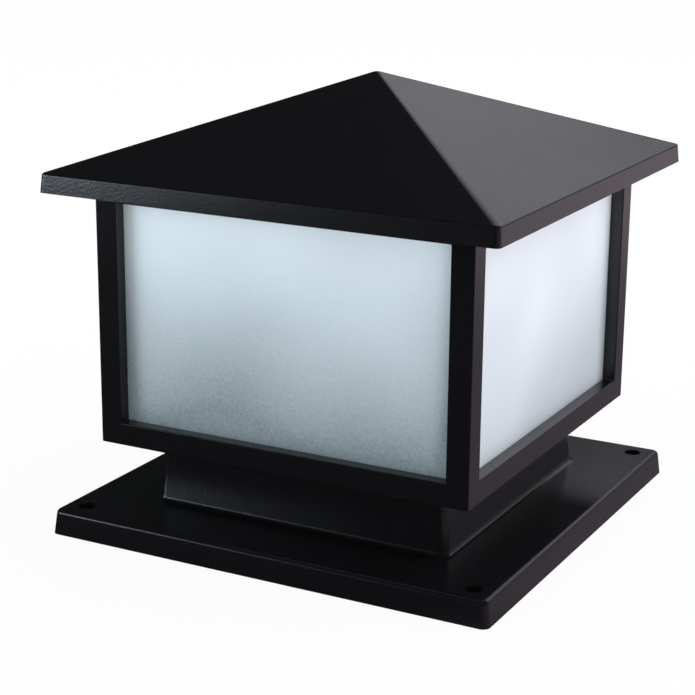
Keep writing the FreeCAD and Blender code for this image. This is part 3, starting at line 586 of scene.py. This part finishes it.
block = Finish("terminal_plastic")
grime = block.grain(0.004, detail=3.0)
terminal_plastic = block.surface(
    Base_Color=block.mix(grime, (0.70, 0.685, 0.64), (0.80, 0.79, 0.75)),
    Roughness=0.42 + grime * 0.15,
    Subsurface_Weight=0.1,
    Subsurface_Scale=0.001,
)


def insulation(name, dark, light):
    """Soft plastic that is a little uneven along the wire."""
    finish = Finish(name)
    uneven = finish.grain(0.003, detail=3.0)
    return finish.surface(Base_Color=finish.mix(uneven, dark, light), Roughness=0.35 + uneven * 0.15)


for node, dark, light in (
    ("wire_live", (0.13, 0.05, 0.02), (0.21, 0.09, 0.04)),
    ("wire_neutral", (0.015, 0.06, 0.26), (0.04, 0.12, 0.40)),
):
    coat_with(insulation(node + "_sheath", dark, light), node)
    soften(node, 0.00005)
striped = Finish("wire_earth_sheath")
band = striped.between(striped.along(0), 0.0630, 0.0634)
worn = striped.grain(0.002, detail=3.0)
green = striped.mix(worn, (0.03, 0.22, 0.04), (0.06, 0.32, 0.07))
earth_sheath = striped.surface(
    Base_Color=striped.mix(band, green, (0.75, 0.62, 0.06)),
    Roughness=0.36 + worn * 0.15,
)
coat_with(earth_sheath, "wire_earth")
soften("wire_earth", 0.00005)
coat_with(terminal_plastic, "terminal_block")
coat_with(zinc, "terminal_screws", "terminal_fixing_screws", "earth_tag", "earth_screw")
coat_with(black_rubber, "cable_grommet")
for node in ("terminal_block", "cable_grommet"):
    soften(node, 0.0002)
for node in (
    "terminal_tubes", "terminal_screws", "terminal_fixing_screws", "earth_tag", "earth_screw",
):
    soften(node, 0.0001)


# ---- Roof ------------------------------------------------------------------------------
# One casting: four slopes that meet at hips and a small blunt tip, with a leaning fascia round the
# eave. It lies on a rubber seal. A blackened screw and a plated washer hold each side from below.

soften("roof_cap", 0.0003)
coat_with(satin_black, "roof_cap")
soften("roof_gasket", 0.0004)
coat_with(black_rubber, "roof_gasket")
black_steel = brushed("blackened_steel", (0.012, 0.012, 0.013), (0.035, 0.035, 0.037), 0.34)
m4 = {"head": 0.0080, "head_height": 0.0026, "shank": 0.0040, "length": 0.0100, "pitch": 0.0007}
for side in SIDES:
    low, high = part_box(f"roof_screw_{side}")
    spot = ((low.x + high.x) / 2, (low.y + high.y) / 2, low.z + m4["head_height"])
    build(
        f"roof_screw_{side}_threaded", placed(pan_head_screw(**m4), [spot], upward=True), black_steel,
        "black_steel", f"screw_{side}", f"roof_screw_{side}", crease=45,
    )
    coat_with(zinc, f"roof_washer_{side}")
    soften(f"roof_washer_{side}", 0.0001)


# ---- Studio ---------------------------------------------------------------------------------
# A white table and backdrop. The lantern was shot from a little above its roof's edge, with the
# front face to the left and the right-hand face turned well away.

table = bpy.data.meshes.new("table")
reach = 6.0
table_corners = [(-reach, -reach, 0), (reach, -reach, 0), (reach, reach, 0), (-reach, reach, 0)]
table.from_pydata(table_corners, [], [(0, 1, 2, 3)])
floor = bpy.data.objects.new("table", table)
bpy.context.scene.collection.objects.link(floor)
floor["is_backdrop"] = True

paper = Finish("white_paper")


def seen_by(finish, *kinds):
    """1 for the kinds of ray that see the backdrop itself, and 0 for the light that it gives."""
    seen = 0.0
    for kind in kinds:
        seen = finish.maths("MAXIMUM", finish.node("LightPath", output=f"Is {kind} Ray"), seen)
    return seen


def toward(finish, place, direction):
    """How far a place, or a heading, goes in a direction."""
    return finish.node("VectorMath", {"operation": "DOT_PRODUCT"}, {0: place, 1: direction}, output=1)


# In reflections the table shows a painted pool of light behind and to the right of the lantern, and
# painted shade to its front and left, with a painted purple tint.
to_right = toward(paper, paper.place(), (0.8, 0.6, 0))
painted_light_near = paper.between(to_right, -0.03, 0.07)
painted_light_far = paper.between(to_right, 0.40, 0.85)
glossy = paper.node("LightPath", output="Is Glossy Ray")
seen = seen_by(paper, "Camera", "Transmission")
share = paper.maths("MAXIMUM", seen * 0.93, glossy)
body = paper.node("BsdfDiffuse", sockets={"Color": (0.8, 0.8, 0.8, 1)})
painted_floor_light = 1.0 - glossy * (0.98 - painted_light_near * 0.20 - painted_light_far * 0.36)
painted_reflection_tint = paper.mix(glossy, (1, 1, 1), (1.08, 0.90, 1.06))
glow = paper.node("Emission", sockets={"Color": painted_reflection_tint, "Strength": painted_floor_light})
mixed = paper.node("MixShader", sockets={0: share, 1: body, 2: glow})
paper.node("OutputMaterial", sockets={"Surface": mixed})
table.materials.append(paper.material)

world = bpy.data.worlds.new("studio")
bpy.context.scene.world = world
world.use_nodes = True
air = Finish("studio", world.node_tree)
heading = air.node("TexCoord", output="Generated")
to_back = toward(air, heading, (0.43, 0.86, 0.26))
behind = air.between(to_back, 0.78, 0.97)
glossy = air.node("LightPath", output="Is Glossy Ray")
seen = seen_by(air, "Camera", "Transmission")
rightward = toward(air, heading, (0.93, 0.37, 0))
even = 0.78 + air.between(rightward, 0.0, 0.9) * 1.5
level = even * (1 - glossy) + glossy * (0.02 + behind * 0.20)
cast = air.mix(air.between(rightward, -0.2, 0.8), (0.90, 1.0, 1.01), (1.10, 1.0, 1.06))
room = air.node("Background", sockets={"Color": cast, "Strength": level})
white = air.node("Background", sockets={"Color": (1, 1, 1, 1), "Strength": 1.0})
mixed = air.node("MixShader", sockets={0: seen, 1: room, 2: white})
air.node("OutputWorld", sockets={"Surface": mixed})


def softbox(name, place, target, width, height, brightness, colour):
    """A rectangular light that faces its target and that the camera doesn't see."""
    lamp = bpy.data.lights.new(name, "AREA")
    lamp.shape = "RECTANGLE"
    lamp.size = width
    lamp.size_y = height
    lamp.energy = brightness * math.pi * width * height
    lamp.color = colour
    holder = bpy.data.objects.new(name, lamp)
    holder.location = place
    holder.rotation_euler = (Vector(target) - Vector(place)).to_track_quat("-Z", "Y").to_euler()
    holder.visible_camera = False
    bpy.context.scene.collection.objects.link(holder)


middle = Vector((0, 0, 0.12))
softbox("key", Vector((0.13, 0.82, 0.57)) * 1.8 + middle, middle, 1.8, 0.98, 0.76, (0.96, 0.96, 1.06))
softbox("fill", Vector((-0.76, -0.64, 0.14)) * 1.6 + middle, middle, 0.86, 0.42, 7.5, (0.84, 0.96, 1.08))

azimuth = math.radians(27.882)
elevation = math.radians(16.118)
roll = math.radians(0.495)
distance = 1.01940
aside = -0.01327
above = 0.08471
focal_pixels = 1840.7
picture_pixels = 695

flat_reach = math.cos(elevation)
back = Vector(
    (math.sin(azimuth) * flat_reach, -math.cos(azimuth) * flat_reach, math.sin(elevation))
)
level = Vector((math.cos(azimuth), math.sin(azimuth), 0))
upward = back.cross(level)
across = level * math.cos(roll) + upward * math.sin(roll)
up = upward * math.cos(roll) - level * math.sin(roll)
lens = bpy.data.cameras.new("camera")
sensor_width = 36
lens.sensor_width = sensor_width
lens.lens = focal_pixels / picture_pixels * sensor_width
camera = bpy.data.objects.new("camera", lens)
camera.matrix_world = Matrix((across, up, back)).transposed().to_4x4()
camera.location = back * distance + across * aside + up * above
bpy.context.scene.collection.objects.link(camera)
bpy.context.scene.camera = camera
bpy.context.scene.view_settings.view_transform = "Standard"

low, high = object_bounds()
